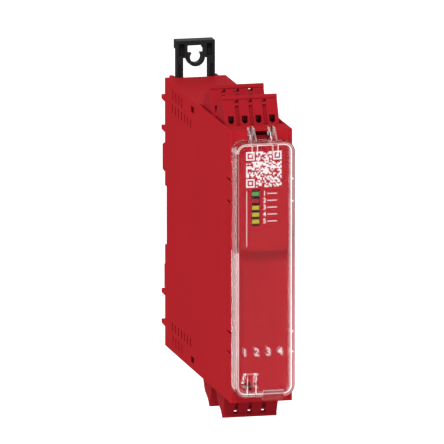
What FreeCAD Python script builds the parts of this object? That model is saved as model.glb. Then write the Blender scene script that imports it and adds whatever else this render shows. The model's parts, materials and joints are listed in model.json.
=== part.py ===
"""Safety relay module, 22.5 mm wide, for a 35 mm rail or for two screws on a panel.

Millimetres.  Origin: middle of the rail, on the plane where the rail's brims seat.
+Z is up, -Y is the front with the clear cover, +Y is the wall side.
Depths called u run back from the front plane; heights called h run out from the
top plane.  Bottom pieces are the top ones mirrored about mid_z.
"""
import FreeCAD, Part
import math
import os

V = FreeCAD.Vector

# housing
width = 22.5
half_w = width / 2
front_y = -103.5                # front plane of the cap
bottom_z = -47.6
top_z = 50.9
mid_z = (bottom_z + top_z) / 2
side_t = 1.2                    # side wall
skin_t = 1.2                    # top and bottom wall
inner_x = half_w - side_t
back_skin = 1.4
channel_d = 1.2                 # clip channel sunk into the back wall
vent_w = 1.4
vent_pitch = 4.8

# rail seat
rail_half = 17.5                # half of the 35 mm rail
brim_gap = 1.3                  # room for a 1 mm brim
brim_bite = 1.2                 # how far a lip reaches over the brim
jaw_out = 3.9                   # jaw and clip guides stand this far behind the seat
jaw_top = 26.0
relief_d = 2.6
relief_z = (-10.3, 11.4)
spur_out = 5.6                  # spurs that stand the housing off the wall
spur_tops = (44.9, 33.7, -26.4, -37.7)

# terminal plugs
pitch_x = 5.0
poles = [(-1.5 + i) * pitch_x for i in range(4)]
plug_pitch = 20.2               # from the front plug to the rear one
plug_half = 9.9
bay_u = (9.9, 52.0)
bay_d = 1.0
bay_rebate = 0.45               # room beside the plugs, let into the side walls
well_u = (15.0, 28.8)           # front well; the rear one is a pitch further back
well_floor = -8.6
face_foot_u = 13.87             # front face of a plug where it meets its shoulder
face_lean = math.degrees(math.atan(0.477))
funnel_tilt = 22.6
groove_half = 0.65
slot_half = 0.75
rim_h = 7.9
tip_h = 9.2
pin_u = 22.0
pin_t = 1.0

# circuit board
board_x = (-9.6, -8.0)
board_u = (10.2, 97.0)
board_h = -11.9                 # its edge, below the top plane

# front cap
cap_half = 10.0
cap_t = 2.0
cap_u = 9.9
plate_half = 8.95               # raised label field
plate_out = 4.3
plate_z = (7.9, 46.4)
plate_t = 1.3
window_x = (-4.7, -1.5)
window_h = 2.0
window_gap = 0.28               # dark gap round each lamp window
window_zs = [28.75 - 2.5 * i for i in range(5)]
ear_zs = ((24.7, 33.5), (-29.9, -21.8))
ear_u = 6.0
ear_gap = 0.75                  # slit above and below each ear

# clear cover
cover_x = (-10.95, 10.95)
cover_z = (-44.8, 47.7)
cover_out = 6.0
cover_back = 0.1                # gap between its rim and the front plane
cover_t = 1.1
cover_r = 4.0
arm_xs = (-3.75, 3.75)
arm_w = 1.9
notch_half = 3.1                # finger notch between the arms
hinge_u = 1.6
hinge_z = top_z - 1.2
hinge_r = 0.6
grip_x = (-0.75, 6.65)

# clip and foot
clip_half = 7.1
clip_y = (-1.1, 1.9)
clip_lip_y = 3.9
clip_top = 64.2
clip_foot = 39.6
clip_window = 4.65
clip_hole_z = 58.05
clip_hole_r = 2.1
clip_ring_r = 3.4
clip_slot = (1.8, 4.6)          # slot and pockets, below the head's outer edge
clip_pocket = (1.2, 5.6)
foot_bottom = bottom_z - 0.1


# ---------------------------------------------------------------- helpers
def box(x, y, z):
    """Block between two limits on each axis."""
    return Part.makeBox(x[1] - x[0], y[1] - y[0], z[1] - z[0], V(x[0], y[0], z[0]))


def depth(u):
    """Y of a depth behind the front plane."""
    return front_y + u


def ublock(x, u, h):
    """Block given by depths u and by heights h over the top plane."""
    return box(x, (depth(u[0]), depth(u[1])), (top_z + h[0], top_z + h[1]))


def fuse(first, *others):
    return first.fuse(list(others)).removeSplitter() if others else first


def cut(first, *others):
    return first.cut(list(others))


def group(solids):
    """Separate solids kept side by side in one node."""
    return Part.makeCompound(list(solids))


def outline(points, at):
    """Closed wire through (a, b) or (a, b, radius) points; at() makes each one 3-D."""
    flat = [V(p[0], p[1], 0) for p in points]
    edges, first, last = [], None, None
    for i, p in enumerate(points):
        here, prev, after = flat[i], flat[i - 1], flat[(i + 1) % len(flat)]
        r = p[2] if len(p) > 2 else 0.0
        if r > 0:
            a, b = (prev - here).normalize(), (after - here).normalize()
            turn = a.getAngle(b)
            run = r / math.tan(turn / 2)
            mid = (a + b).normalize()
            centre = here + mid * (r / math.sin(turn / 2))
            ends = (here + a * run, centre - mid * r, here + b * run)
            arc = Part.Arc(*(at(e.x, e.y) for e in ends)).toShape()
            start, stop = ends[0], ends[2]
        else:
            arc, start, stop = None, here, here
        if last is None:
            first = start
        else:
            edges.append(Part.makeLine(at(last.x, last.y), at(start.x, start.y)))
        if arc:
            edges.append(arc)
        last = stop
    edges.append(Part.makeLine(at(last.x, last.y), at(first.x, first.y)))
    return Part.Wire(edges)


def prism_x(points, x):
    """Side profile of (depth u, z) points, pushed across from x[0] to x[1]."""
    wire = outline(points, lambda u, z: V(x[0], depth(u), z))
    return Part.Face(wire).extrude(V(x[1] - x[0], 0, 0))


def prism_y(points, y):
    """Front profile of (x, z) points, pushed back from y[0] to y[1]."""
    wire = outline(points, lambda a, z: V(a, y[0], z))
    return Part.Face(wire).extrude(V(0, y[1] - y[0], 0))


def prism_z(points, z):
    """Plan of (x, depth u) points, pushed up from z[0] to z[1]."""
    wire = outline(points, lambda a, u: V(a, depth(u), z[0]))
    return Part.Face(wire).extrude(V(0, 0, z[1] - z[0]))


def rounded(x, z, r):
    """Corner points of a rectangle with one corner radius."""
    return [(x[0], z[0], r), (x[1], z[0], r), (x[1], z[1], r), (x[0], z[1], r)]


def strip(points, t):
    """Outline of a bent strip of thickness t to the left of its (u, h) line."""
    left = []
    for i, p in enumerate(points):
        before = points[max(i - 1, 0)]
        after = points[min(i + 1, len(points) - 1)]
        a = math.atan2(p[1] - before[1], p[0] - before[0]) if i else None
        b = math.atan2(after[1] - p[1], after[0] - p[0]) if i < len(points) - 1 else a
        a = b if a is None else a
        half = (b - a) / 2
        reach = t / math.cos(half)
        side = a + half + math.pi / 2
        left.append((p[0] + reach * math.cos(side), p[1] + reach * math.sin(side)))
    return list(points) + left[::-1]


def lifted(points):
    """Heights over the top plane turned into Z."""
    return [(p[0], top_z + p[1]) + tuple(p[2:]) for p in points]


def below(shape):
    """Bottom twin of a top piece."""
    return shape.mirror(V(0, 0, mid_z), V(0, 0, 1))


def further(shape, row):
    """The same piece in the front row (0) or the rear row (1)."""
    moved = shape.copy()
    moved.translate(V(0, row * plug_pitch, 0))
    return moved


# ---------------------------------------------------------------- housing
def bay():
    """Sunk shelf for two plugs, with a well and a header slot for each."""
    span = (-inner_x, inner_x)
    shelf = ublock(span, bay_u, (-bay_d - skin_t, -bay_d))
    end = ublock(span, (bay_u[1] - skin_t, bay_u[1]), (-bay_d - skin_t, 0))
    solids, hollows = [shelf, end], []
    for row in (0, 1):
        u = [d + row * plug_pitch for d in well_u]
        walls = (u[0] - skin_t, u[1] + skin_t)
        solids.append(ublock(span, walls, (well_floor - skin_t, -bay_d)))
        hollows.append(ublock(span, u, (well_floor, 1)))
        hollows.append(further(header_slot(), row))
    return solids, hollows


def header_slot():
    return ublock((-9.4, 9.4), (18.5, 25.5), (well_floor - skin_t - 1, well_floor + 1))


def vents():
    """Rows of slots near the top edge, right through both side walls."""
    across = (-half_w - 1, half_w + 1)
    slots = []
    for first, count, low, high in ((76.6, 4, -6.1, -2.3), (62.9, 7, -10.8, -7.7)):
        for i in range(count):
            u = first + vent_pitch * i
            slots.append(ublock(across, (u - vent_w / 2, u + vent_w / 2), (low, high)))
    slots.append(ublock(across, (57.4, 62.4), (-4.6, -2.4)))
    return slots


def back_relief():
    """Everything that stands out behind the seat plane: jaw, spurs and clip guides."""
    full = (-half_w, half_w)
    jaw = prism_x([(-front_y - 0.5, rail_half + 0.1),
                   (-front_y + brim_gap, rail_half + 0.1),
                   (-front_y + brim_gap, rail_half - brim_bite),
                   (-front_y + jaw_out, rail_half - brim_bite + 0.5),
                   (-front_y + jaw_out, jaw_top),
                   (-front_y - 0.5, jaw_top + 1.4)], full)
    toe = box(full, (-0.5, 1.0), (-26.4, -rail_half - 0.1))
    pieces = [jaw, toe]
    sides = ((-half_w, -half_w + 1.6), (half_w - 1.6, half_w))
    for top in spur_tops:
        spur = [(-front_y - 0.5, top), (-front_y + spur_out, top - 1.1),
                (-front_y + spur_out, top - 2.7), (-front_y - 0.5, top - 2.9)]
        pieces += [prism_x(spur, side) for side in sides]
    for x0, x1, lip in ((-8.75, -7.25, -6.3), (7.25, 8.75, 6.3)):
        wall = box((x0, x1), (-0.5, jaw_out), (jaw_top, top_z))
        hold = box((min(lip, x0), max(lip, x1)), (2.05, jaw_out), (jaw_top, top_z - 4.5))
        pieces += [wall, hold]
        wall = box((x0, x1), (-0.5, jaw_out), (bottom_z, -rail_half - 3.0))
        hold = box((min(lip, x0), max(lip, x1)), (2.05, jaw_out),
                   (bottom_z + 4.5, -rail_half - 3.0))
        pieces += [wall, hold]
    return pieces


def housing_tub():
    """One moulded tub, open at the front, with the plug bays and the rail seat."""
    tub = box((-half_w, half_w), (front_y, 0), (bottom_z, top_z))
    room = box((-inner_x, inner_x), (front_y - 1, -channel_d - back_skin),
               (bottom_z + skin_t, top_z - skin_t))
    tub = cut(tub, room)
    step = box((-inner_x, inner_x), (-relief_d - back_skin, -channel_d - back_skin + 0.1),
               (relief_z[0] - 1.4, relief_z[1] + 1.4))
    mouth = ublock((-inner_x, inner_x), (-1, bay_u[1]), (-skin_t - 1, 1))
    solids, hollows = bay()
    rebate = ublock((-inner_x - bay_rebate, inner_x + bay_rebate), bay_u, (-bay_d, 1))
    tub = cut(tub, mouth, below(mouth), rebate, below(rebate))
    tub = fuse(tub, step, *solids, *[below(s) for s in solids], *back_relief(), *board_guides())
    tub = cut(tub, *hollows, *[below(h) for h in hollows])
    slots = vents()
    tub = cut(tub, *slots, *[below(s) for s in slots])
    relief = box((-half_w - 1, half_w + 1), (-relief_d, 1), relief_z)
    chan_x = (-7.25, 7.25)
    channels = [box(chan_x, (-channel_d, 2.05), (jaw_top + 0.2, top_z + 1)),
                box(chan_x, (-channel_d, 2.05), (bottom_z - 1, -rail_half - 0.1)),
                box(chan_x, (-channel_d, 0.01), (-rail_half - 0.2, -rail_half + 1.6))]
    notches = [box((-half_w - 1, half_w + 1), (front_y - 1, depth(ear_u)), z)
               for z in ear_zs]
    tub = cut(tub, relief, *channels, *notches)
    stops = [box(x, (-channel_d - 0.2, 0.9), z)
             for x in ((-4.45, -3.6), (3.6, 4.45)) for z in ((42.8, 44.1), (-40.7, -39.4))]
    return fuse(tub, *stops)


def board_guides():
    """Channels on the left wall that take the circuit board's long edges."""
    rib = ublock((-inner_x - 0.1, -7.1), (54.0, 95.0), (board_h + 0.05, board_h + 1.0))
    lip = ublock((-7.95, -7.1), (54.0, 95.0), (board_h - 1.2, board_h + 0.5))
    pad = ublock((-inner_x - 0.1, -9.65), (54.0, 95.0), (board_h - 1.2, board_h + 0.5))
    return [rib, lip, pad, below(rib), below(lip), below(pad)]


# ---------------------------------------------------------------- front cap
def front_cap():
    """Front tray with skirts, snap ears, the raised label field and hinge slots."""
    full = (-cap_half, cap_half)
    shell = box(full, (front_y, depth(cap_u - 0.05)), (bottom_z, top_z))
    room = box((-8.8, 8.8), (depth(cap_t), depth(cap_u + 1)),
               (bottom_z + 1.4, top_z - 1.4))
    shell = cut(shell, room)
    field = prism_y(rounded((-plate_half, plate_half), plate_z, 3.0),
                    (front_y - plate_out, front_y + 0.5))
    ears = []
    for z in ear_zs:
        for x in ((-half_w, -cap_half + 0.1), (cap_half - 0.1, half_w)):
            ears.append(box(x, (front_y, depth(ear_u - 0.15)), (z[0] + ear_gap, z[1] - ear_gap)))
    shell = fuse(shell, field, *ears)
    inside = rounded((-plate_half + plate_t, plate_half - plate_t),
                     (plate_z[0] + plate_t, plate_z[1] - plate_t), 1.7)
    hollow = prism_y(inside, (front_y - plate_out + plate_t, depth(cap_t + 0.1)))
    windows = [box(window_x, (front_y - plate_out - 1, front_y),
                   (z - window_h / 2, z + window_h / 2)) for z in window_zs]
    return cut(shell, hollow, *windows, *hinge_slots(), *finger_notch(), *latch_holes(),
               *ear_slots())


def hinge_slots():
    """Slots for the cover's arms, with a bore for the pivot on each side."""
    cuts = []
    for x in arm_xs:
        w = arm_w / 2 + 0.2
        cuts.append(box((x - w, x + w), (front_y - 1, depth(5.4)), (top_z - 2.9, top_z + 1)))
    bore = Part.makeCylinder(hinge_r + 0.08, 2 * (3.75 + 2.1),
                             V(-3.75 - 2.1, depth(hinge_u), hinge_z), V(1, 0, 0))
    keep = box((-3.75 + 2.1, 3.75 - 2.1), (front_y, depth(9)), (top_z - 5, top_z + 1))
    return cuts + [bore.cut(keep)]


def finger_notch():
    """Sloped pocket in the front edge between the arms."""
    side = [(-1.0, top_z - 3.5), (0.0, top_z - 3.5), (2.6, top_z - 1.7), (2.6, top_z - 0.3),
            (-1.0, top_z - 0.3)]
    return [prism_x(side, (-notch_half, notch_half))]


def latch_holes():
    """Hole that the cover's latch hook enters, and the sealing hole beside it."""
    through = (front_y - 1, depth(cap_t + 1))
    hook = box((-5.95, -3.75), through, (bottom_z + 4.3, bottom_z + 7.0))
    seal = box((-7.4, -6.35), through, (bottom_z + 5.6, bottom_z + 6.7))
    return [hook, seal]


def ear_slots():
    """Two short slits above and below each ear so that it can flex."""
    slits = []
    for z in ear_zs:
        for edge in (z[0], z[1] - ear_gap):
            for x in ((-cap_half - 0.1, -8.7), (8.7, cap_half + 0.1)):
                slits.append(box(x, (depth(cap_t + 0.4), depth(cap_u + 1)),
                                 (edge, edge + ear_gap)))
    return slits


def light_pipe():
    """Five clear fingers from the board's lamps to the windows, on one web."""
    fingers = []
    x0, x1 = window_x[0] + window_gap, window_x[1] - window_gap
    for z in window_zs:
        plan = [(x0, -plate_out + 0.1), (x1, -plate_out + 0.1), (x1, 1.5),
                (-5.0, 9.0), (-5.0, 12.0), (-7.8, 12.0), (-7.8, 9.0), (x0, 1.5)]
        half = window_h / 2 - window_gap
        fingers.append(prism_z(plan, (z - half, z + half)))
    web = box((x0 - 0.7, x1 + 0.7), (depth(-plate_out + plate_t + 0.05), depth(-2.0)),
              (window_zs[-1] - 1.6, window_zs[0] + 1.6))
    return fuse(web, *fingers)


# ---------------------------------------------------------------- clear cover
def clear_cover():
    """Clear moulded shell with gusseted latch tongue, grip and two pivot arms."""
    front = front_y - cover_out
    back = front_y - cover_back
    shell = prism_y(rounded(cover_x, cover_z, cover_r), (front, back))
    rim = [e for e in shell.Edges if all(abs(v.Y - front) < 1e-6 for v in e.Vertexes)]
    shell = shell.makeChamfer(0.7, rim)
    x = (cover_x[0] + cover_t, cover_x[1] - cover_t)
    z = (cover_z[0] + cover_t, cover_z[1] - cover_t)
    room = prism_y(rounded(x, z, cover_r - cover_t), (front + cover_t, back + 1))
    shell = fuse(cut(shell, room), *cover_gussets(), *cover_ribs(), cover_hook(), cover_grip(),
                 *[hinge_arm(a) for a in arm_xs])
    slits = [box((a, a + 0.4), (front - 1, back + 1), (cover_z[0] - 1, -37.4))
             for a in (-6.35, -3.75)]
    return cut(shell, *slits)


def cover_gussets():
    """Two fins and a bar behind the front wall that frame the latch tongue."""
    low, high = bottom_z + 6.2, bottom_z + 11.4
    wall = -cover_out + cover_t - 0.1
    fin = [(wall, low), (-0.6, low), (-0.6, low + 1.0), (wall + 0.9, high), (wall, high)]
    bar = box((-7.5, -2.2), (depth(wall), depth(wall + 1.0)), (high - 0.9, high))
    return [prism_x(fin, (-7.5, -6.35)), prism_x(fin, (-3.35, -2.2)), bar]


def cover_ribs():
    """Two short ribs that carry the arms' lines on inside the front wall."""
    y = (front_y - cover_out + cover_t - 0.1, front_y - cover_out + cover_t + 0.4)
    return [box((x - arm_w / 2, x + arm_w / 2), y, (cover_z[1] - 5.0, cover_z[1] - 0.5))
            for x in arm_xs]


def cover_hook():
    """Hook on the tongue that enters the cap."""
    wall = -cover_out + cover_t - 0.1
    low = bottom_z + 4.7
    side = [(wall, low), (1.2, low), (1.2, low + 1.0), (wall, low + 2.0)]
    return prism_x(side, (-5.6, -4.1))


def cover_grip():
    """Finger grip across the lower edge, with four ribs on its face."""
    front, low = -cover_out, bottom_z + 1.7
    side = [(front + 0.2, low + 3.8), (front - 0.45, low + 3.6), (front - 0.45, low + 0.5),
            (front - 0.1, low), (front + 1.6, low), (front + 1.9, low + 1.2),
            (front + 0.9, low + 1.4)]
    grip = prism_x(side, grip_x)
    ribs = [box((grip_x[0] + 0.6, grip_x[1] - 0.6), (depth(front - 0.7), depth(front - 0.2)),
                (low + 1.0 + 0.7 * i, low + 1.35 + 0.7 * i)) for i in range(4)]
    return fuse(grip, *ribs)


def hinge_arm(x):
    """Goose-neck arm that clears the front edge, with its pivot."""
    neck = [(-4.6, cover_z[1] - 0.6), (-4.4, cover_z[1] + 0.7), (-0.9, top_z + 1.0, 0.9),
            (hinge_u + 1.05, top_z + 1.0, 0.8), (hinge_u + 1.05, hinge_z - 1.05),
            (hinge_u - 1.05, hinge_z - 1.05), (hinge_u - 1.05, hinge_z + 0.6),
            (-0.5, hinge_z + 0.6), (-2.7, cover_z[1] - 0.6)]
    arm = prism_x(neck, (x - arm_w / 2, x + arm_w / 2))
    outer, inner = arm_w / 2 + 0.7, arm_w / 2 + 0.2
    start = x - (outer if x < 0 else inner)
    pivot = Part.makeCylinder(hinge_r, outer + inner, V(start, depth(hinge_u), hinge_z),
                              V(1, 0, 0))
    return fuse(arm, pivot)


# ---------------------------------------------------------------- clips
def clip_frame(low, high):
    """Flat frame of a clip, with its legs, between two heights."""
    return box((-clip_half, clip_half), clip_y, (low, high))


def upper_clip():
    """Black screw clip, pulled out: keyhole bar, pockets and two legs."""
    body = clip_frame(clip_foot, clip_top)
    head = box((-clip_half, clip_half), (clip_y[1] - 0.1, clip_lip_y),
               (clip_top - 3.3, clip_top))
    body = fuse(body, head)
    deep = (clip_y[0] - 1, clip_lip_y + 1)
    window = box((-clip_window, clip_window), deep, (clip_foot + 3.0, clip_hole_z - 0.2))
    body = cut(body, window)
    ring = Part.makeCylinder(clip_ring_r, clip_y[1] - clip_y[0],
                             V(0, clip_y[0], clip_hole_z), V(0, 1, 0))
    body = fuse(body, ring)
    hole = Part.makeCylinder(clip_hole_r, 8, V(0, clip_y[0] - 1, clip_hole_z), V(0, 1, 0))
    slot = box((-3.0, 3.0), deep, (clip_top - clip_slot[1], clip_top - clip_slot[0]))
    pockets = [box(x, (clip_y[0] - 1, clip_y[1] - 0.9),
                   (clip_top - clip_pocket[1], clip_top - clip_pocket[0]))
               for x in ((-6.1, -4.1), (4.1, 6.1))]
    legs = [box(x, (clip_y[0] - 1, clip_y[0] + 0.8), (clip_foot + 4.0, 55.5))
            for x in ((-6.3, -5.4), (5.4, 6.3))]
    return cut(body, hole, slot, *pockets, *legs)


def rail_foot():
    """Black foot that grips the rail's lower brim, with its own screw keyhole."""
    nose_top = -rail_half + brim_bite
    body = clip_frame(foot_bottom, -rail_half - 0.02)
    bar = box((-clip_half, clip_half), (clip_y[1] - 0.1, clip_lip_y),
              (foot_bottom, foot_bottom + 3.3))
    beak = prism_x([(-front_y + 0.5, -rail_half - 2.6),
                    (-front_y + jaw_out, -rail_half - 2.6),
                    (-front_y + jaw_out, nose_top - 1.0),
                    (-front_y + brim_gap + 0.6, nose_top),
                    (-front_y + brim_gap, nose_top), (-front_y + brim_gap, -rail_half - 0.02),
                    (-front_y + 0.5, -rail_half - 0.02)], (-clip_half + 1, clip_half - 1))
    body = fuse(body, bar, beak)
    deep = (clip_y[0] - 1, clip_lip_y + 1)
    hole_z = foot_bottom + clip_top - clip_hole_z
    window = box((-clip_window, clip_window), deep, (hole_z + 0.2, -26.0))
    body = cut(body, window)
    ring = Part.makeCylinder(clip_ring_r, clip_y[1] - clip_y[0], V(0, clip_y[0], hole_z),
                             V(0, 1, 0))
    body = fuse(body, ring)
    hole = Part.makeCylinder(clip_hole_r, 8, V(0, clip_y[0] - 1, hole_z), V(0, 1, 0))
    slot = box((-3.0, 3.0), deep, (foot_bottom + clip_slot[0], foot_bottom + clip_slot[1]))
    pockets = [box(x, (clip_y[0] - 1, clip_y[1] - 0.9),
                   (foot_bottom + clip_pocket[0], foot_bottom + clip_pocket[1]))
               for x in ((-6.1, -4.1), (4.1, 6.1))]
    return cut(body, hole, slot, *pockets)


# ---------------------------------------------------------------- terminal plugs
def face_u(h):
    """Depth of a plug's leaning front face at height h."""
    return face_foot_u + (h + 0.9) * math.tan(math.radians(face_lean))


def on_face(shape, x, h):
    """Turns a shape made round the origin, facing -Y, onto the leaning face."""
    placed = shape.copy()
    placed.rotate(V(0, 0, 0), V(1, 0, 0), -face_lean)
    placed.translate(V(x, depth(face_u(h)), top_z + h))
    return placed


def plug_profile():
    return lifted([
        (face_u(-0.9), -0.9), (face_u(rim_h), rim_h), (face_u(rim_h) - 0.35, rim_h + 0.15),
        (face_u(tip_h) - 0.45, tip_h), (face_u(tip_h) + 0.35, tip_h),
        (21.1, 7.0), (25.5, 5.2), (26.4, 4.5), (28.4, 1.4), (29.2, -0.9), (28.6, -0.9),
        (28.6, -7.6), (15.2, -7.6), (15.2, -0.9)])


def tool_opening():
    """D-shaped opening, flat above and pointed round below, 2.2 wide and 2.9 tall."""
    wire = outline([(-1.1, 1.45), (-1.1, -0.6), (-0.6, -1.2), (0.0, -1.45), (0.6, -1.2),
                    (1.1, -0.6), (1.1, 1.45)], lambda a, z: V(a, -1.5, z))
    return Part.Face(wire).extrude(V(0, 5.0, 0))


def cut_corner_wire(half, z):
    """Square with cut corners, at one height."""
    c = half * 0.45
    return outline([(-half, -c), (-c, -half), (c, -half), (half, -c),
                    (half, c), (c, half), (-c, half), (-half, c)],
                   lambda a, b: V(a, b, z))


def wire_funnel(x):
    """Wire entry in the rear-leaning face, narrowing inwards."""
    funnel = Part.makeLoft([cut_corner_wire(1.95, 0.3), cut_corner_wire(1.3, -4.7)], True, True)
    funnel.rotate(V(0, 0, 0), V(1, 0, 0), -funnel_tilt)
    funnel.translate(V(x, depth(23.5), top_z + 6.0))
    return funnel


def plug_body():
    """Red four-pole plug: leaning face, grooves, openings, chambers for the clamps."""
    body = prism_x(plug_profile(), (-plug_half, plug_half))
    chamber = lifted([(17.0, -8.0), (17.0, 2.9), (19.6, 4.4), (23.8, 3.6), (26.4, 1.4),
                      (27.0, -0.9), (27.0, -8.0)])
    cuts = []
    for x in poles:
        cuts.append(prism_x(chamber, (x - 1.8, x + 1.8)))
        cuts.append(on_face(tool_opening(), x, 1.04))
        cuts.append(wire_funnel(x))
    for x in (-pitch_x, 0.0, pitch_x):
        slot = box((x - slot_half, x + slot_half), (depth(15), depth(24)),
                   (top_z + 6.6, top_z + 7.5))
        lower = [(face_u(-0.9) - 1, -1.0), (face_u(5.75) - 1, 5.75), (face_u(5.75) + 1.0, 5.75),
                 (face_u(-0.9) + 1.2, -1.0)]
        upper = [(face_u(6.2) - 1, 6.5), (face_u(7.6) - 1, 7.62), (face_u(7.6) + 1.2, 7.62),
                 (face_u(6.5) + 1.2, 6.5)]
        cuts += [slot, prism_x(lifted(lower), (x - groove_half, x + groove_half)),
                 prism_x(lifted(upper), (x - groove_half - 0.2, x + groove_half + 0.2))]
    nicks = [ublock(x, (25.2, 26.6), (-4.6, -3.2)) for x in
             ((-plug_half - 1, -plug_half + 0.4), (plug_half - 0.4, plug_half + 1))]
    return cut(body, *cuts, *nicks)


def plug_contacts():
    """Four brass clamping bars, each with a fork that straddles its pin."""
    bars = []
    bent = lifted([(20.4, -1.8), (20.4, -1.1), (24.7, -1.1), (24.9, -0.9), (24.9, 1.6),
                   (25.6, 1.6), (25.6, -1.4), (25.2, -1.8)])
    tine = lifted([(20.4, -1.8), (23.6, -1.8), (23.2, -7.2), (20.8, -7.2)])
    for x in poles:
        side = pin_t / 2 + 0.06
        bars.append(fuse(prism_x(bent, (x - 1.1, x + 1.1)),
                         prism_x(tine, (x - side - 0.5, x - side)),
                         prism_x(tine, (x + side, x + side + 0.5))))
    return group(bars)


def plug_springs():
    """Four bent leaf springs that press a wire onto its bar."""
    line = [(24.2, -0.7), (19.6, -0.7), (18.4, 0.0), (18.2, 1.8), (19.6, 2.7), (24.5, 0.2)]
    shape = lifted(strip(line, -0.35))
    return group([prism_x(shape, (x - 1.3, x + 1.3)) for x in poles])


def pin_header():
    """Insulating block that carries the pins, seated in the well's floor slot."""
    block = ublock((-9.4, 9.4), (18.5, 25.5), (-10.4, well_floor + 0.6))
    flange = ublock((-9.9, 9.9), (17.5, 26.5), (-11.2, well_floor - skin_t))
    return cut(fuse(block, flange), *[pin(i) for i in range(4)])


def pin(i):
    """Bent pin: up into the plug, and across to the board at its own level."""
    x, level = poles[i], -12.9 - 1.9 * i
    u = (pin_u - pin_t / 2, pin_u + pin_t / 2)
    rise = ublock((x - pin_t / 2, x + pin_t / 2), u, (level - pin_t / 2, -2.4))
    run = ublock((board_x[0], x + pin_t / 2), u, (level - pin_t / 2, level + pin_t / 2))
    rise = rise.makeChamfer(0.3, [e for e in rise.Edges
                                  if all(v.Z > top_z - 2.5 for v in e.Vertexes)])
    return fuse(rise, run)


def header_pins():
    return group([pin(i) for i in range(4)])


# ---------------------------------------------------------------- electronics
def circuit_board():
    """Board in the plane of the side wall, with a hole for every pin."""
    board = box(board_x, (depth(board_u[0]), depth(board_u[1])),
                (2 * mid_z - top_z - board_h, top_z + board_h))
    pins = [further(pin(i), row) for i in range(4) for row in (0, 1)]
    return cut(board, *pins, *[below(p) for p in pins])


def on_board(u, z, tall):
    """Block standing on the board's face."""
    return box((board_x[1], board_x[1] + tall), (depth(u[0]), depth(u[1])), z)


def relay_case(z):
    """Sealed relay: a lidded case on a slightly larger foot."""
    case = on_board((62.0, 91.0), (z + 0.3, z + 12.5), 15.8)
    case = case.makeChamfer(0.5, [e for e in case.Edges
                                  if all(v.X > board_x[1] + 15 for v in e.Vertexes)])
    foot = on_board((61.7, 91.3), (z, z + 12.8), 1.6)
    return fuse(case, foot)


def transformer_core():
    """Ferrite frame round a window, with the middle leg that carries the coil."""
    x = (board_x[1] + 3.0, board_x[1] + 11.0)
    frame = box(x, (depth(62.5), depth(79.5)), (-31.0, -13.0))
    window = box((x[0] - 1, x[1] + 1), (depth(65.5), depth(76.5)), (-28.0, -16.0))
    leg = box((x[0] + 1.5, x[1] - 1.5), (depth(69.0), depth(73.0)), (-28.1, -15.9))
    feet = [box((board_x[1], x[0] + 0.1), (depth(u), depth(u + 3.0)), (-31.0, -13.0))
            for u in (62.5, 76.5)]
    return fuse(cut(frame, window), leg, *feet)


def transformer_coil():
    """Winding round the middle leg."""
    x = (board_x[1] + 1.6, board_x[1] + 12.4)
    turns = prism_z([(x[0] + 1.0, 65.8), (x[1] - 1.0, 65.8), (x[1], 66.8), (x[1], 75.2),
                     (x[1] - 1.0, 76.2), (x[0] + 1.0, 76.2), (x[0], 75.2), (x[0], 66.8)],
                    (-27.6, -16.4))
    leg = box((x[0] + 2.9, x[1] - 2.9), (depth(69.0), depth(73.0)), (-29.0, -15.0))
    return cut(turns, leg)


def filter_capacitors():
    cans = []
    for z in (-28.0, -16.0):
        cans.append(Part.makeCylinder(5.0, 14.0, V(board_x[1], depth(88.0), z), V(1, 0, 0)))
    return group(cans)


def control_chips():
    """Two flat logic chips, each with two rows of leads."""
    chips = []
    for z in (2.0, 20.0):
        chip = on_board((36.0, 46.0), (z, z + 10.0), 1.5)
        rows = [z + 0.8 + 1.27 * i for i in range(7)]
        leads = [on_board((34.8, 47.2), (a, a + 0.5), 0.6) for a in rows]
        chips.append(fuse(chip, *leads))
    return group(chips)


def input_couplers():
    return group([on_board((26.0, 32.0), (z, z + 4.6), 3.4)
                  for z in (-28.0, -21.0, -14.0, -7.0)])


def surge_discs():
    discs = []
    for z in (-24.0, -12.0):
        disc = Part.makeCylinder(4.0, 3.4, V(board_x[1] + 4.0, depth(50.0), z), V(0, 1, 0))
        discs.append(disc)
    return group(discs)


def status_lamps():
    """Side-firing lamps at the inner ends of the light pipe."""
    return group([on_board((12.2, 14.0), (z - 0.8, z + 0.8), 2.4) for z in window_zs])


# ---------------------------------------------------------------- export
def pieces():
    """Every sub-part by its node name."""
    made = {
        "housing_tub": housing_tub(), "front_cap": front_cap(), "light_pipe": light_pipe(),
        "clear_cover": clear_cover(), "upper_clip": upper_clip(), "rail_foot": rail_foot(),
        "circuit_board": circuit_board(), "output_relay_1": relay_case(18.6),
        "output_relay_2": relay_case(4.0), "transformer_core": transformer_core(),
        "transformer_coil": transformer_coil(), "filter_capacitors": filter_capacitors(),
        "control_chips": control_chips(), "input_couplers": input_couplers(),
        "surge_discs": surge_discs(), "status_lamps": status_lamps(),
    }
    repeated = {"plug_body": plug_body(), "plug_contacts": plug_contacts(),
                "plug_springs": plug_springs(), "pin_header": pin_header(),
                "header_pins": header_pins()}
    for name, shape in repeated.items():
        for row, place in ((0, "front"), (1, "rear")):
            top = further(shape, row)
            made[f"{name}_top_{place}"] = top
            made[f"{name}_bottom_{place}"] = below(top)
    return made


def main():
    os.makedirs("parts", exist_ok=True)
    for name, shape in pieces().items():
        if not shape.isValid() or shape.Volume <= 0:
            raise ValueError(f"{name} is not a sound solid")
        print(f"{name:26s} {len(shape.Solids)} solid(s) {shape.Volume:10.1f} mm3")
        shape.exportStep(f"parts/{name}.step")


main()
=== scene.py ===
"""Finishes for the slim red safety relay: mouldings, clear cover, print, lamps and stage."""
import json
import math
import random

import bmesh
import bpy
from mathutils import Matrix, Vector

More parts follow.
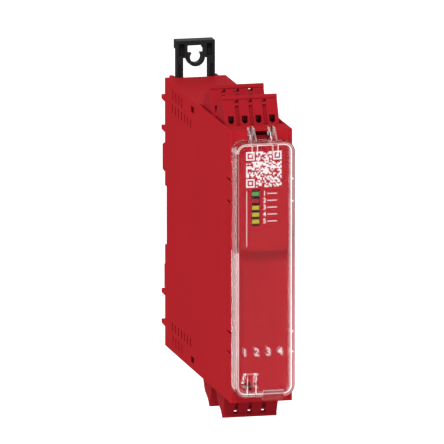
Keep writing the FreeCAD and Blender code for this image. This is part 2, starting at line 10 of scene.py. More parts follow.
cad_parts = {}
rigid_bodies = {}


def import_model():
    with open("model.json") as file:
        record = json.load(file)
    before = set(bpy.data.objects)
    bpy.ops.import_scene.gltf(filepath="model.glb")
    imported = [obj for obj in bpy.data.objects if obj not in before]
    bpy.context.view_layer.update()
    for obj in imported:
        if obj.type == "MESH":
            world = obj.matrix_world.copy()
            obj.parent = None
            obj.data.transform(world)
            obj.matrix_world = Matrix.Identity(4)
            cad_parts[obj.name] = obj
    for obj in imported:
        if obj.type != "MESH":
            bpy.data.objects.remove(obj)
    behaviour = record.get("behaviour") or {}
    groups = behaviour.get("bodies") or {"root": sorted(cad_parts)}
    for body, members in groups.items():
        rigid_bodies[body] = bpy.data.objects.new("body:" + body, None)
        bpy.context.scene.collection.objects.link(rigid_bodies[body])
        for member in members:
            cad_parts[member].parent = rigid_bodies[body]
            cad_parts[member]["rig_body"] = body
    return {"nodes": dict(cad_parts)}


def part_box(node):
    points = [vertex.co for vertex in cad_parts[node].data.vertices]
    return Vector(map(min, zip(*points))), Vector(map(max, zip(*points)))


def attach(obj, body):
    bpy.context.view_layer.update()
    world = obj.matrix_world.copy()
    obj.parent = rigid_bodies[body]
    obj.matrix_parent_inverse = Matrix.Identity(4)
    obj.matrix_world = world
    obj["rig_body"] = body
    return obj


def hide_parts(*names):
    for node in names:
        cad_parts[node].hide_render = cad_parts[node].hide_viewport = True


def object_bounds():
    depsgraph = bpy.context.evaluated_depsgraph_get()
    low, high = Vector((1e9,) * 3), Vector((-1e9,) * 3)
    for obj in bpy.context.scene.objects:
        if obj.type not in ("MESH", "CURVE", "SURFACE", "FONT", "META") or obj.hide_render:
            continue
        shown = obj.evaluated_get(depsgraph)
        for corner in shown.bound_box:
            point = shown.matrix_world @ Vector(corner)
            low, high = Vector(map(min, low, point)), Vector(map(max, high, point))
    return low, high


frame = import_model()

bl_info = {
    "name": "Safety Relay Finish",
    "version": (1, 0, 0),
    "blender": (4, 5, 0),
    "location": "3D View > Sidebar > Relay",
    "description": "Dresses a slim rail-mounted safety relay",
    "category": "Object",
}

MM = 0.001
NODES = frame["nodes"]
CAD_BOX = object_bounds()
PLUG_PLACES = [f"{side}_{row}" for side in ("top", "bottom") for row in ("front", "rear")]
TUB_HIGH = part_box("housing_tub")[1]
CAP_LOW, CAP_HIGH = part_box("front_cap")
PIPE_LOW, PIPE_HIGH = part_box("light_pipe")

# cap and its raised label field
CAP_FACE = CAP_LOW.y + 4.3 * MM            # flat front of the cap
CAP_MIDDLE = (CAP_LOW.z + CAP_HIGH.z) / 2
LABEL_FACE = CAP_LOW.y
LABEL_LOW = CAP_LOW.z + 55.5 * MM
LABEL_HIGH = CAP_LOW.z + 94.0 * MM
LAMP_COUNT = 5
LAMP_PITCH = 2.5 * MM
LAMP_X = -3.1 * MM
LAMPS_MIDDLE = (PIPE_LOW.z + PIPE_HIGH.z) / 2
LAMPS_HALF = (PIPE_HIGH.z - PIPE_LOW.z) / 2

# hollows of the red mouldings that get painted shade
SLOT_SINK = (0.12 * MM, 1.25 * MM)         # vent slots, inward from the housing's side
SLOT_RUN = (7.5 * MM, 101.0 * MM)          # backward from the cap's flat front
SLOT_ENDS = 0.3 * MM                       # short of the cap's ends
NOTCH_HALF = 3.15 * MM                     # finger notch between the arms, with its walls
NOTCH_SINK = (0.02 * MM, 2.8 * MM)         # backward from the cap's flat front
NOTCH_DROP = (0.25 * MM, 3.55 * MM)        # down from the cap's upper end
LAMP_BAR_HALF = 1.35 * MM                  # bars between the lamp windows
REVEAL_HALF = 1.75 * MM                    # walls round the lamp windows
REVEAL_SINK = (LABEL_FACE - CAP_FACE + 0.04 * MM, 1.0 * MM)

# front wall of the clear cover, and what stands on it
PANE_FACE = CAP_FACE - 6.0 * MM
PANE_WALL = 1.1 * MM
PANE_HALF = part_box("clear_cover")[1].x
PANE_LOW = CAP_LOW.z + 2.8 * MM
PANE_HIGH = PANE_LOW + 92.5 * MM
PANE_CORNER = 4.0 * MM
ARM_X = 3.75 * MM                          # hinge arms, left and right of the middle
ARM_HALF = 0.95 * MM
LATCH_X = -4.85 * MM                       # middle of the latch tongue
GUSSET_INNER = 1.5 * MM                    # sides of its gussets, from that middle
GUSSET_OUTER = 2.65 * MM
GUSSET_LOW = CAP_LOW.z + 6.2 * MM
GUSSET_HIGH = CAP_LOW.z + 11.4 * MM
GUSSET_FOOT = 1.0 * MM                     # upright part of a gusset's rear edge
GUSSET_DEEP = (5.4 * MM, 1.9 * MM)         # its depth there and at its top
SLIT_GLOW = GUSSET_LOW + 1.2 * MM          # the latch's slits get a painted highlight below this height
GRIP_CLOUDY = CAP_LOW.z + 4.0 * MM         # the grip is cloudy above this height

BLACK = (0, 0, 0, 1)
WHITE = (1, 1, 1, 1)


def screen(red, green, blue):
    """Screen colour, from 0 to 255 a channel, in shares of 1."""
    return red / 255, green / 255, blue / 255


def linear(colour):
    """Screen colour in shares of 1, as linear light with full alpha."""
    light = [s / 12.92 if s <= 0.04045 else ((s + 0.055) / 1.055) ** 2.4 for s in colour]
    return (*light, 1.0)


def shade(colour, factor):
    return (*(c * factor for c in colour[:3]), 1.0)


# ------------------------------------------------------------------ shader maths
class Term:
    """A shader socket that adds Math nodes when it is used in an expression."""

    def __init__(self, tree, socket):
        self.tree, self.socket = tree, socket

    def _math(self, operation, first, second=None):
        values = {0: first} if second is None else {0: first, 1: second}
        return self.tree.add("ShaderNodeMath", {"operation": operation}, values)

    def __add__(self, other):
        return self._math("ADD", self, other)

    def __sub__(self, other):
        return self._math("SUBTRACT", self, other)

    def __rsub__(self, other):
        return self._math("SUBTRACT", other, self)

    def __mul__(self, other):
        return self._math("MULTIPLY", self, other)

    def __truediv__(self, other):
        return self._math("DIVIDE", self, other)

    def __rtruediv__(self, other):
        return self._math("DIVIDE", other, self)

    __radd__ = __add__
    __rmul__ = __mul__

    def at_least(self, limit):
        return self._math("MAXIMUM", self, limit)

    def size(self):
        return self._math("ABSOLUTE", self)

    def root(self):
        return self._math("SQRT", self)

    def wave(self):
        return self._math("SINE", self)

    def over(self, edge):
        """1 where the value is above the edge, else 0."""
        return self._math("GREATER_THAN", self, edge)

    def under(self, edge):
        """1 where the value is below the edge, else 0."""
        return self._math("LESS_THAN", self, edge)

    def between(self, low, high):
        return self.over(low) * self.under(high)

    def near(self, place, reach):
        """1 where the value is within reach of a place, else 0."""
        return (self - place).size().under(reach)


class NodeTree:
    """Node tree of a material or a world, filled by one method."""

    def __init__(self, owner):
        owner.use_nodes = True
        self.tree = owner.node_tree
        self.tree.nodes.clear()

    def fill(self, socket, value):
        if isinstance(value, Term):
            self.tree.links.new(value.socket, socket)
        else:
            socket.default_value = value

    def node(self, kind, settings, values):
        """Adds a node: its settings first, then the values or links of its sockets."""
        made = self.tree.nodes.new(kind)
        for key, value in settings.items():
            if key == "stops":
                self.set_stops(made.color_ramp, value)
            else:
                setattr(made, key, value)
        for key, value in values.items():
            self.fill(made.inputs[key], value)
        return made

    def add(self, kind, settings, values, output=0):
        return Term(self, self.node(kind, settings, values).outputs[output])

    def set_stops(self, ramp, stops):
        """Steps of plain colour, each from its own position on."""
        ramp.interpolation = "CONSTANT"
        ramp.elements.remove(ramp.elements[1])
        ramp.elements[0].position, ramp.elements[0].color = stops[0]
        for position, colour in stops[1:]:
            ramp.elements.new(position).color = colour


class Finish(NodeTree):
    """One procedural material on Object coordinates."""

    def __init__(self, name, colour, roughness=0.5, **shader):
        self.material = bpy.data.materials.new(name)
        super().__init__(self.material)
        self.colour = linear(colour)
        values = {key.replace("_", " "): value for key, value in shader.items()}
        values.update({"Base Color": self.colour, "Roughness": roughness})
        self.shader = self.node("ShaderNodeBsdfPrincipled", {}, values)
        surface = Term(self, self.shader.outputs["BSDF"])
        self.node("ShaderNodeOutputMaterial", {}, {"Surface": surface})
        self.place = self.add("ShaderNodeTexCoord", {}, {}, "Object")

    def put(self, name, value):
        self.fill(self.shader.inputs[name], value)

    def axis(self, which):
        return self.add("ShaderNodeSeparateXYZ", {}, {0: self.place}, which)

    def noise(self, scale, detail=2.0, squeeze=(1, 1, 1)):
        mapped = self.add("ShaderNodeMapping", {}, {"Vector": self.place, "Scale": squeeze})
        values = {"Vector": mapped, "Scale": scale, "Detail": detail}
        return self.add("ShaderNodeTexNoise", {"noise_dimensions": "3D"}, values)

    def mix(self, factor, first, second):
        settings = {"data_type": "RGBA", "blend_type": "MIX"}
        return self.add("ShaderNodeMix", settings, {0: factor, 6: first, 7: second}, 2)

    def bump(self, height, depth, strength):
        values = {"Height": height, "Distance": depth, "Strength": strength}
        self.put("Normal", self.add("ShaderNodeBump", {}, values))


# ------------------------------------------------------------------ finishes
def moulded(name, colour, roughness=0.6, gloss=0.01, vary=0.05, shaded=None):
    """Moulded plastic: spark-eroded grain, slow flow marks in colour and gloss, and painted
    shade where a shade mask is given.
    """
    finish = Finish(name, colour, Specular_IOR_Level=gloss)
    flow = finish.noise(60.0, 3.0, (1.0, 0.5, 0.35))
    grain = finish.noise(3800.0)
    tone = finish.mix(flow, shade(finish.colour, 1 - vary), shade(finish.colour, 1 + vary))
    # painted shade: the colour is darkened where the shaded mask says
    if shaded:
        in_shade = shade(finish.colour, 0.15)
        tone = finish.mix(shaded(finish), tone, in_shade)
    finish.put("Base Color", tone)
    finish.put("Roughness", roughness - 0.06 + flow * 0.08 + grain * 0.05)
    finish.bump(grain, 0.004 * MM, 0.35)
    return finish.material


def shaded_places(finish):
    """Share of painted shade in the vent slots, in the finger notch and round the lamp windows.
    """
    x, z = finish.axis("X"), finish.axis("Z")
    side, depth = x.size(), finish.axis("Y") - CAP_FACE
    height = (z - CAP_MIDDLE).size().under(CAP_HIGH.z - CAP_MIDDLE - SLOT_ENDS)
    slots = height * (TUB_HIGH.x - side).between(*SLOT_SINK) * depth.between(*SLOT_RUN)
    notch = side.under(NOTCH_HALF) * depth.between(*NOTCH_SINK)
    notch = notch * (CAP_HIGH.z - z).between(*NOTCH_DROP)
    reveals = x.near(LAMP_X, REVEAL_HALF) * depth.between(*REVEAL_SINK)
    bars = x.near(LAMP_X, LAMP_BAR_HALF) * depth.under(0.0)
    windows = z.near(LAMPS_MIDDLE, LAMPS_HALF) * reveals.at_least(bars)
    return (slots.at_least(notch) * 0.7).at_least(windows)


def metal(name, colour, roughness=0.3):
    """Drawn or rolled metal with fine level lines."""
    finish = Finish(name, colour, Metallic=1.0)
    lines = finish.noise(900.0, squeeze=(1, 1, 12))
    blots = finish.noise(240.0)
    finish.put("Base Color", finish.mix(blots, shade(finish.colour, 0.82), finish.colour))
    finish.put("Roughness", roughness + lines * 0.15)
    finish.bump(lines, 0.003 * MM, 0.4)
    return finish.material


def clear_plastic(name, tint):
    """Clear moulding: its flat pane hardly shows, its walls bend the light, its edges glow with
    painted highlights.
    """
    finish = Finish(name, tint, 0.0, IOR=1.49, Transmission_Weight=1.0, Emission_Strength=1.0)
    waves = finish.noise(140.0, 1.0)
    streaks = finish.noise(260.0, squeeze=(1.0, 1.0, 0.12))
    finish.bump(waves, 0.01 * MM, 0.1)

    # zones of the moulding
    x, z = finish.axis("X"), finish.axis("Z")
    deep = finish.axis("Y") - PANE_FACE
    inward = inside_outline(x, z)
    behind = deep.over(PANE_WALL + 0.02 * MM)
    proud = deep.under(-0.02 * MM)
    skin = (1 - behind) * (1 - proud)
    inside = inward.over(1.4 * MM)
    arms = z.over(PANE_HIGH)
    box = 1 - arms
    arm_sides = arms * (x.size() - ARM_X).size().over(ARM_HALF - 0.1 * MM)
    cloudy = proud * z.over(GRIP_CLOUDY)
    beside_label = x.under(0.0) * z.between(LABEL_LOW, PANE_HIGH - PANE_CORNER)
    right = x.over(0.0)
    # painted highlights on the edges of the latch and the arms' ribs, which are also made less
    # clear
    edges = latch_edges(x, z, deep, behind, skin) * inside
    # painted dark line on the cover's left wall beside the label, where its refraction shows
    # dark
    painted_dark_line = beside_label * skin * box * inward.near(0.8 * MM, 0.18 * MM)

    # share of each zone that is seen straight through
    pane = inside * (skin * 0.82 + behind * 0.72) + arms * (0.6 - arm_sides * 0.3)
    walls = behind * (0.2 + beside_label * 0.4 + right * 0.3) + skin * beside_label * 0.5
    clear = pane * (1 - edges) + (proud - cloudy) * 0.6
    clear = clear + (1 - inside) * box * walls * (1 - painted_dark_line)
    finish.put("Alpha", 1 - clear * (1 - waves * 0.04))
    finish.put("Roughness", cloudy * 0.3)

    # tint, a painted dark line beside the label, and painted highlights that glow along the
    # edges
    tone = finish.mix(cloudy, finish.colour, shade(finish.colour, 0.7))
    finish.put("Base Color", finish.mix(painted_dark_line, tone, BLACK))
    # painted highlights: white glow along the rim bands and on the arms' sides
    outer_rim = inward.near(0.68 * MM, 0.1 * MM) * (1 - beside_label)
    inner_rim = inward.near(1.25 * MM, 0.13 * MM) * (1 - beside_label * 0.5)
    painted_rim_glow = (outer_rim + inner_rim) * skin * box * (0.1 + streaks * 0.62)
    finish.put("Emission Color", finish.mix(painted_rim_glow + arm_sides * 0.25 + edges * 0.5, BLACK, WHITE))
    return finish.material


def inside_outline(x, z):
    """Distance inward from the cover's rounded outline."""
    middle, half = (PANE_LOW + PANE_HIGH) / 2, (PANE_HIGH - PANE_LOW) / 2
    out_x = (x.size() - (PANE_HALF - PANE_CORNER)).at_least(0.0)
    out_z = ((z - middle).size() - (half - PANE_CORNER)).at_least(0.0)
    return PANE_CORNER - (out_x * out_x + out_z * out_z).root()


def latch_edges(x, z, deep, behind, skin):
    """Painted highlight on the edges of the latch's gussets, on its slits and on the arms'
    ribs.
    """
    across = (x - LATCH_X).size()
    level = z.between(GUSSET_LOW - 0.05 * MM, GUSSET_HIGH + 0.05 * MM)
    bend = GUSSET_LOW + GUSSET_FOOT
    slope = (GUSSET_DEEP[0] - GUSSET_DEEP[1]) / (GUSSET_HIGH - bend)
    slant = deep - GUSSET_DEEP[0] + (z - bend) * slope
    left_faces = x.near(LATCH_X - GUSSET_OUTER, 0.2 * MM)
    left_faces = left_faces + x.near(LATCH_X + GUSSET_INNER, 0.2 * MM)
    outline = z.near(GUSSET_LOW, 0.2 * MM).at_least(slant.near(0.0, 0.25 * MM) * left_faces)
    fins = behind * level * across.under(3.0 * MM) * outline
    inner_edge = GUSSET_INNER + 0.1 * MM
    uprights = skin * level * across.near(inner_edge, 0.12 * MM)
    bar = skin * z.near(GUSSET_HIGH, 0.15 * MM) * across.under(GUSSET_OUTER)
    slits = skin * z.under(SLIT_GLOW) * across.near(inner_edge, 0.1 * MM)
    ribs = (x.size() - ARM_X).size().near(ARM_HALF, 0.12 * MM)
    ribs = skin * z.over(PANE_HIGH - 5.0 * MM) * ribs
    gussets = fins.at_least(uprights).at_least(bar)
    return (gussets * 0.5).at_least(slits).at_least(ribs)


def lamp_windows(name, tones):
    """Light pipe whose window ends glow in their own colours, listed from the top."""
    finish = Finish(name, screen(96, 92, 84), 0.25, Specular_IOR_Level=0.4,
                    Emission_Strength=0.12)
    cloud = finish.noise(700.0)
    rise = (finish.axis("Z") - PIPE_LOW.z) / (PIPE_HIGH.z - PIPE_LOW.z)
    stops = [(i / LAMP_COUNT, linear(tone)) for i, tone in enumerate(reversed(tones))]
    tone = finish.add("ShaderNodeValToRGB", {"stops": stops}, {0: rise})
    tone = finish.mix(cloud * 0.2, tone, BLACK)
    front = finish.axis("Y").under(LABEL_FACE + 0.15 * MM)
    finish.put("Base Color", finish.mix(front, finish.colour, tone))
    # the window ends glow; the unlit red one glows too, as painted light
    finish.put("Emission Color", finish.mix(front, BLACK, tone))
    finish.bump(cloud, 0.01 * MM, 0.3)
    return finish.material


def solder_mask(name, colour):
    """Circuit board: mask over copper tracks, with a fine weave in its gloss."""
    finish = Finish(name, colour)
    values = {"Vector": finish.place, "Scale": 260.0}
    tracks = finish.add("ShaderNodeTexVoronoi", {"distance": "MANHATTAN"}, values)
    copper = tracks.over(0.52)
    finish.put("Base Color", finish.mix(copper, finish.colour, shade(finish.colour, 1.9)))
    finish.put("Roughness", 0.3 + finish.noise(2600.0, 1.0) * 0.2)
    finish.bump(copper, 0.03 * MM, 0.5)
    return finish.material


def winding(name, colour):
    """Enamelled wire laid turn by turn, with painted shade in the grooves between the turns."""
    finish = Finish(name, colour, 0.3, Metallic=0.7)
    wire = 0.45 * MM
    turns = (finish.axis("Z") * (2 * math.pi / wire)).wave() * 0.5 + 0.5
    # painted shade darkens the grooves between the turns
    finish.put("Base Color", finish.mix(turns, shade(finish.colour, 0.45), finish.colour))
    finish.bump(turns, 0.12 * MM, 0.8)
    return finish.material


def print_ink(name, colour):
    """Printed ink, a little uneven in its cover."""
    finish = Finish(name, colour, 0.55, Specular_IOR_Level=0.2)
    body = finish.noise(2500.0)
    finish.put("Base Color", finish.mix(body, shade(finish.colour, 0.9), finish.colour))
    finish.bump(body, 0.004 * MM, 0.3)
    return finish.material


# ------------------------------------------------------------------ meshes
def new_piece(name, mesh, material, body):
    """Object with its place in its mesh, riding on a body."""
    piece = bpy.data.objects.new(name, mesh)
    bpy.context.scene.collection.objects.link(piece)
    mesh.materials.clear()
    mesh.materials.append(material)
    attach(piece, body)
    return piece


def softened(node, name, material, edge, steps=2):
    """Copy of a moulded solid with its facets joined up and its edges rounded."""
    mesh = NODES[node].data.copy()
    mesh.name = name
    bm = bmesh.new()
    bm.from_mesh(mesh)
    bmesh.ops.remove_doubles(bm, verts=bm.verts, dist=0.0005 * MM)
    bm.to_mesh(mesh)
    bm.free()
    mesh.shade_smooth()
    mesh.set_sharp_from_angle(angle=math.radians(32))
    piece = new_piece(name, mesh, material, NODES[node]["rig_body"])
    bevel = piece.modifiers.new("edges", "BEVEL")
    bevel.width, bevel.segments = edge, steps
    bevel.limit_method, bevel.angle_limit = "ANGLE", math.radians(35)
    bevel.use_clamp_overlap = True
    bevel.miter_outer = "MITER_ARC"
    even = piece.modifiers.new("even faces", "WEIGHTED_NORMAL")
    even.keep_sharp, even.weight = True, 80
    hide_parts(node)


def finish_node(node, material):
    """Gives a CAD node its material."""
    mesh = NODES[node].data
    mesh.materials.clear()
    mesh.materials.append(material)


def slab(bm, low, high):
    """Adds a closed block between two corners."""
    low, high = Vector(low), Vector(high)
    made = bmesh.ops.create_cube(bm, size=1.0)
    bmesh.ops.scale(bm, vec=high - low, verts=made["verts"])
    bmesh.ops.translate(bm, vec=(low + high) / 2, verts=made["verts"])


def mesh_of(bm, name):
    mesh = bpy.data.meshes.new(name)
    bm.to_mesh(mesh)
    bm.free()
    return mesh


# ------------------------------------------------------------------ settings
def colour_setting(name, description, default):
    """Screen colour that a user can change."""
    return bpy.props.FloatVectorProperty(
        name=name, description=description, size=3, default=default,
        subtype="COLOR_GAMMA", min=0.0, max=1.0)


def length_setting(name, description, default):
    """Length in metres that a user can change."""
    return bpy.props.FloatProperty(
        name=name, description=description, default=default, unit="LENGTH", precision=5)


class RelayColours(bpy.types.PropertyGroup):
    housing: colour_setting("Housing", "Colour of the red mouldings", screen(172, 30, 38))
    plugs: colour_setting("Plugs", "Colour of the terminal plugs", screen(158, 28, 37))
    clips: colour_setting("Clips", "Colour of the black clips", screen(31, 31, 32))
    cover: colour_setting("Cover", "Tint of the clear cover", screen(250, 248, 250))
    ink: colour_setting("Ink", "Colour of the printed marks", screen(248, 240, 242))


class RelaySizes(bpy.types.PropertyGroup):
    edge: length_setting("Edge rounding", "Width of the rounding on moulded edges", 0.12 * MM)
    cover_edge: length_setting("Cover edge rounding", "Width of the rounding on the cover",
                               0.18 * MM)
    code: length_setting("Code square", "Side of the printed code square", 12.9 * MM)
    lamp_number: length_setting("Lamp numbers", "Height of the numbers beside the lamps",
                                1.7 * MM)
    pole_number: length_setting("Pole numbers", "Height of the numbers on the cap", 2.8 * MM)
    frame_height: length_setting("Frame height", "Height that the camera takes in at the relay",
                                 158.9 * MM)
    azimuth: bpy.props.FloatProperty(
        name="Azimuth", description="Camera's turn round the relay, from its front",
        default=math.radians(-13.2), subtype="ANGLE")
    elevation: bpy.props.FloatProperty(
        name="Elevation", description="Camera's height angle",
        default=math.radians(11.4), subtype="ANGLE")


def settings():
    return bpy.context.scene.relay_colours, bpy.context.scene.relay_sizes


# ------------------------------------------------------------------ operators
class RELAY_OT_mouldings(bpy.types.Operator):
    """Housing tub and front cap in fine-grained red plastic"""
    bl_idname = "relay.mouldings"
    bl_label = "Red mouldings"

    def execute(self, context):
        colours, sizes = settings()
        red = moulded("red moulded plastic", colours.housing, shaded=shaded_places)
        softened("housing_tub", "housing_moulding", red, sizes.edge)
        softened("front_cap", "cap_moulding", red, sizes.edge)
        return {"FINISHED"}


class RELAY_OT_plugs(bpy.types.Operator):
    """Four terminal plugs with their metal parts"""
    bl_idname = "relay.plugs"
    bl_label = "Terminal plugs"

    def execute(self, context):
        colours, sizes = settings()
        red = moulded("red plug plastic", colours.plugs, 0.4)
        tinned = metal("tinned brass", screen(196, 190, 170), 0.28)
        spring = metal("spring steel", screen(176, 178, 182), 0.22)
        black = moulded("black header plastic", screen(26, 26, 27), 0.5)
        for place in PLUG_PLACES:
            softened(f"plug_body_{place}", f"plug_{place}", red, sizes.edge)
            finish_node(f"plug_contacts_{place}", tinned)
            finish_node(f"header_pins_{place}", tinned)
            finish_node(f"plug_springs_{place}", spring)
            finish_node(f"pin_header_{place}", black)
        return {"FINISHED"}


class RELAY_OT_clips(bpy.types.Operator):
    """Black screw clip and rail foot"""
    bl_idname = "relay.clips"
    bl_label = "Black clips"

    def execute(self, context):
        colours, sizes = settings()
        black = moulded("black moulded plastic", colours.clips, 0.5, 0.15, vary=0.12)
        softened("upper_clip", "screw_clip", black, sizes.edge)
        softened("rail_foot", "foot_clip", black, sizes.edge)
        return {"FINISHED"}


class RELAY_OT_cover(bpy.types.Operator):
    """Clear front cover"""
    bl_idname = "relay.cover"
    bl_label = "Clear cover"

    def execute(self, context):
        colours, sizes = settings()
        clear = clear_plastic("clear cover plastic", colours.cover)
        softened("clear_cover", "front_window", clear, sizes.cover_edge, 3)
        return {"FINISHED"}


class RELAY_OT_lamps(bpy.types.Operator):
    """Light pipe with green, unlit red and yellow windows"""
    bl_idname = "relay.lamps"
    bl_label = "Lamp windows"

    def execute(self, context):
        green, unlit, yellow = screen(88, 148, 84), screen(168, 20, 46), screen(188, 168, 42)
        tones = [green, unlit, yellow, yellow, yellow]
        finish_node("light_pipe", lamp_windows("lamp windows", tones))
        finish_node("status_lamps", moulded("lamp lens", screen(235, 235, 228), 0.2, 0.5))
        return {"FINISHED"}


class RELAY_OT_print(bpy.types.Operator):
    """Code square, rule and lamp numbers on the label field, and pole numbers on the cap"""
    bl_idname = "relay.print"
    bl_label = "Printed marks"

    ink_depth = 0.03 * MM            # ink in front of the label field
    ink_bite = 0.01 * MM             # and behind its face
    code_cells = 25                  # along each side of the code square
    code_fill = 0.56                 # share of its cells that are printed
    code_block = 6                   # cells along each side of its corner blocks
    code_left = -6.62 * MM
    code_drop = 2.4 * MM             # from the field's upper edge
    rule_left = -6.5 * MM
    rule_width = 0.2 * MM
    rule_ends = (1.9 * MM, 16.6 * MM)    # in from the field's lower and upper edges
    lamp_drop = 1.6 * MM             # first lamp's middle, below the light pipe's top
    number_x = 0.1 * MM
    bar_ends = (1.1 * MM, 4.6 * MM)
    bar_half = 0.13 * MM
    pole_pitch = 4.3 * MM
    poles_middle = 0.4 * MM
    poles_rise = 18.0 * MM           # above the cap's lower edge

    def execute(self, context):
        colours, sizes = settings()
        bm = bmesh.new()
        side = sizes.code
        self.code(bm, self.code_left, LABEL_HIGH - self.code_drop - side, side)
        self.mark(bm, (self.rule_left, self.rule_left + self.rule_width),
                  (LABEL_LOW + self.rule_ends[0], LABEL_HIGH - self.rule_ends[1]))
        for i in range(LAMP_COUNT):
            z = PIPE_HIGH.z - self.lamp_drop - LAMP_PITCH * i
            self.numeral(bm, i + 1, (self.number_x, LABEL_FACE, z), sizes.lamp_number)
            self.mark(bm, self.bar_ends, (z - self.bar_half, z + self.bar_half))
        for i in range(4):
            x = self.poles_middle + (i - 1.5) * self.pole_pitch
            place = (x, CAP_FACE, CAP_LOW.z + self.poles_rise)
            self.numeral(bm, i + 1, place, sizes.pole_number)
        ink = print_ink("white print", colours.ink)
        new_piece("label_print", mesh_of(bm, "label_print"), ink, "module")
        return {"FINISHED"}

    def mark(self, bm, x, z):
        """Adds a printed block on the label field."""
        slab(bm, (x[0], LABEL_FACE - self.ink_depth, z[0]),
             (x[1], LABEL_FACE + self.ink_bite, z[1]))

    def numeral(self, bm, number, place, height):
        """Adds a plain number, centred on its place and facing the front."""
        capital_share = 0.7          # height of a numeral in a font of size 1
        thicker = 0.012              # added all round its strokes, for a height of 1
        curve = bpy.data.curves.new("numeral", "FONT")
        curve.body = str(number)
        curve.size = height / capital_share
        curve.extrude = 0.02 * MM
        curve.offset = height * thicker
        curve.align_x = curve.align_y = "CENTER"
        curve.resolution_u = 4
        maker = bpy.data.objects.new("numeral", curve)
        mesh = bpy.data.meshes.new_from_object(maker)
        mesh.transform(Matrix.Translation(place) @ Matrix.Rotation(math.pi / 2, 4, "X"))
        bm.from_mesh(mesh)
        bpy.data.objects.remove(maker)
        bpy.data.curves.remove(curve)
        bpy.data.meshes.remove(mesh)

    def code(self, bm, left, low, side):
        """Square of random cells with a framed block in three corners; it encodes nothing."""
        draw = random.Random(41)
        count = self.code_cells
        cell = side / count
        gap = 0.004 * MM             # hairline that keeps neighbouring rows apart
        for row in range(count):
            z = (low + row * cell + gap, low + (row + 1) * cell - gap)
            start = None
            for column in range(count + 1):
                on = column < count and self.cell_on(draw, row, column, count)
                if on and start is None:
                    start = column
                if not on and start is not None:
                    self.mark(bm, (left + start * cell, left + column * cell), z)
                    start = None

    def cell_on(self, draw, row, column, count):
        """Whether a cell is printed: rings in the corner blocks, else by chance."""
        block = self.code_block
        chance = draw.random() < self.code_fill
        low_row, low_column = row <= block, column <= block
        high_row, high_column = row >= count - block - 1, column >= count - block - 1
        if not (low_row and low_column or high_row and low_column or high_row and high_column):
            return chance
        row = row if low_row else count - 1 - row
        column = column if low_column else count - 1 - column
        if row >= block or column >= block:
            return False
        return min(row, column, block - 1 - row, block - 1 - column) != 1


class RELAY_OT_insides(bpy.types.Operator):
    """Circuit board and the parts that it carries"""
    bl_idname = "relay.insides"
    bl_label = "Insides"

    def execute(self, context):
        case = moulded("relay case plastic", screen(222, 220, 208), 0.35, 0.4)
        chip = moulded("chip package", screen(28, 28, 30), 0.45, 0.4, vary=0.12)
        finishes = {
            "circuit_board": solder_mask("solder mask", screen(18, 84, 48)),
            "output_relay_1": case,
            "output_relay_2": case,
            "transformer_core": moulded("ferrite", screen(48, 48, 50), 0.6, 0.3, vary=0.15),
            "transformer_coil": winding("copper winding", screen(196, 112, 56)),
            "filter_capacitors": metal("capacitor can", screen(190, 192, 196)),
            "control_chips": chip,
            "input_couplers": chip,
            "surge_discs": moulded("dipped disc", screen(24, 62, 150), 0.2, 0.5, vary=0.1),
        }
        for node, material in finishes.items():
            finish_node(node, material)
        return {"FINISHED"}


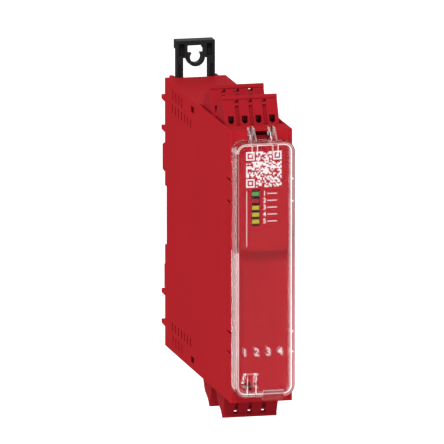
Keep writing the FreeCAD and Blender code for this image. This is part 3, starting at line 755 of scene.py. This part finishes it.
class RELAY_OT_stage(bpy.types.Operator):
    """Pale floor, soft studio light and the camera"""
    bl_idname = "relay.stage"
    bl_label = "Stage"

    lamps = (                        # name, place, width in metres, watts
        ("key", (-0.6, -1.5, 1.5), 0.5, 29.0),
        ("low front", (-0.9, -2.2, -0.2), 1.0, 11.0),
        ("left", (-2.0, -0.7, -0.1), 1.4, 30.0),
        ("right", (2.0, -0.4, 0.8), 1.4, 10.0),
        ("rear", (0.3, 1.8, 1.5), 1.4, 10.0),
    )
    half_view = math.radians(0.75)   # a long lens, so that upright lines stay parallel
    aim_right = -2.3 * MM            # aim, from the middle of the relay's box
    aim_up = 3.8 * MM
    floor_radius = 30.0              # metres
    floor_drop = 0.25                # below the relay's box
    white_strength = 1.05            # of the room: seen, seen through or mirrored
    light_strength = 0.44            # as light on matt surfaces
    gloss_strength = 0.2             # in soft gloss

    def execute(self, context):
        scene = context.scene
        scene.view_settings.view_transform = "Standard"
        self.floor(scene)
        self.sky(scene)
        for name, place, width, power in self.lamps:
            light = bpy.data.lights.new(name, "AREA")
            light.size, light.energy = width, power
            lamp = bpy.data.objects.new(name, light)
            self.look(lamp, Vector(place), -Vector(place))
            scene.collection.objects.link(lamp)
        self.camera(scene)
        return {"FINISHED"}

    def floor(self, scene):
        finish = Finish("pale floor", screen(250, 250, 250), 0.9, Specular_IOR_Level=0.0,
                        Emission_Color=WHITE, Emission_Strength=0.55)
        bm = bmesh.new()
        bmesh.ops.create_circle(bm, cap_ends=True, segments=64, radius=self.floor_radius)
        bmesh.ops.translate(bm, vec=(0, 0, CAD_BOX[0].z - self.floor_drop), verts=bm.verts)
        floor = bpy.data.objects.new("floor", mesh_of(bm, "floor"))
        floor.data.materials.append(finish.material)
        floor.visible_diffuse = floor.visible_glossy = False
        scene.collection.objects.link(floor)

    def sky(self, scene):
        """White to look at, through and mirrored; a soft grey room for light and gloss."""
        scene.world = bpy.data.worlds.new("studio")
        room = NodeTree(scene.world)

        def plain(strength):
            return room.add("ShaderNodeBackground", {}, {"Color": WHITE, "Strength": strength})

        def choose(ray, others, these):
            chosen = room.add("ShaderNodeLightPath", {}, {}, ray)
            return room.add("ShaderNodeMixShader", {}, {0: chosen, 1: others, 2: these})

        white = plain(self.white_strength)
        light = choose("Is Transmission Ray", plain(self.light_strength), white)
        gloss = choose("Is Singular Ray", plain(self.gloss_strength), white)
        unseen = choose("Is Glossy Ray", light, gloss)
        seen = choose("Is Camera Ray", unseen, white)
        room.node("ShaderNodeOutputWorld", {}, {"Surface": seen})

    def camera(self, scene):
        sizes = settings()[1]
        data = bpy.data.cameras.new("camera")
        data.lens = data.sensor_width / 2 / math.tan(self.half_view)
        data.clip_start, data.clip_end = 0.1, 60.0
        turn, rise = sizes.azimuth, sizes.elevation
        back = Vector((math.sin(turn) * math.cos(rise), -math.cos(turn) * math.cos(rise),
                       math.sin(rise)))
        right = Vector((math.cos(turn), math.sin(turn), 0))
        up = back.cross(right)
        aim = (CAD_BOX[0] + CAD_BOX[1]) / 2 + right * self.aim_right + up * self.aim_up
        distance = sizes.frame_height / 2 / math.tan(self.half_view)
        eye = bpy.data.objects.new("camera", data)
        self.look(eye, aim + back * distance, -back)
        scene.collection.objects.link(eye)
        scene.camera = eye

    def look(self, thing, place, direction):
        """Puts a lamp or a camera at a place, looking along a direction."""
        thing.location = place
        thing.rotation_euler = direction.to_track_quat("-Z", "Y").to_euler()


class RELAY_PT_panel(bpy.types.Panel):
    """Relay tools in the sidebar"""
    bl_idname = "RELAY_PT_panel"
    bl_label = "Safety relay"
    bl_space_type = "VIEW_3D"
    bl_region_type = "UI"
    bl_category = "Relay"

    def draw(self, context):
        for group, kind in zip(settings(), (RelayColours, RelaySizes)):
            for key in kind.__annotations__:
                self.layout.prop(group, key)
        for step in STEPS:
            self.layout.operator(step.bl_idname)


STEPS = (RELAY_OT_mouldings, RELAY_OT_plugs, RELAY_OT_clips, RELAY_OT_cover,
         RELAY_OT_lamps, RELAY_OT_print, RELAY_OT_insides, RELAY_OT_stage)
CLASSES = (RelayColours, RelaySizes, *STEPS, RELAY_PT_panel)


def register():
    for cls in CLASSES:
        bpy.utils.register_class(cls)
    bpy.types.Scene.relay_colours = bpy.props.PointerProperty(type=RelayColours)
    bpy.types.Scene.relay_sizes = bpy.props.PointerProperty(type=RelaySizes)


def unregister():
    del bpy.types.Scene.relay_colours
    del bpy.types.Scene.relay_sizes
    for cls in reversed(CLASSES):
        bpy.utils.unregister_class(cls)


def main():
    register()
    for step in STEPS:
        getattr(bpy.ops.relay, step.bl_idname.split(".")[1])()


if __name__ == "__main__":
    main()
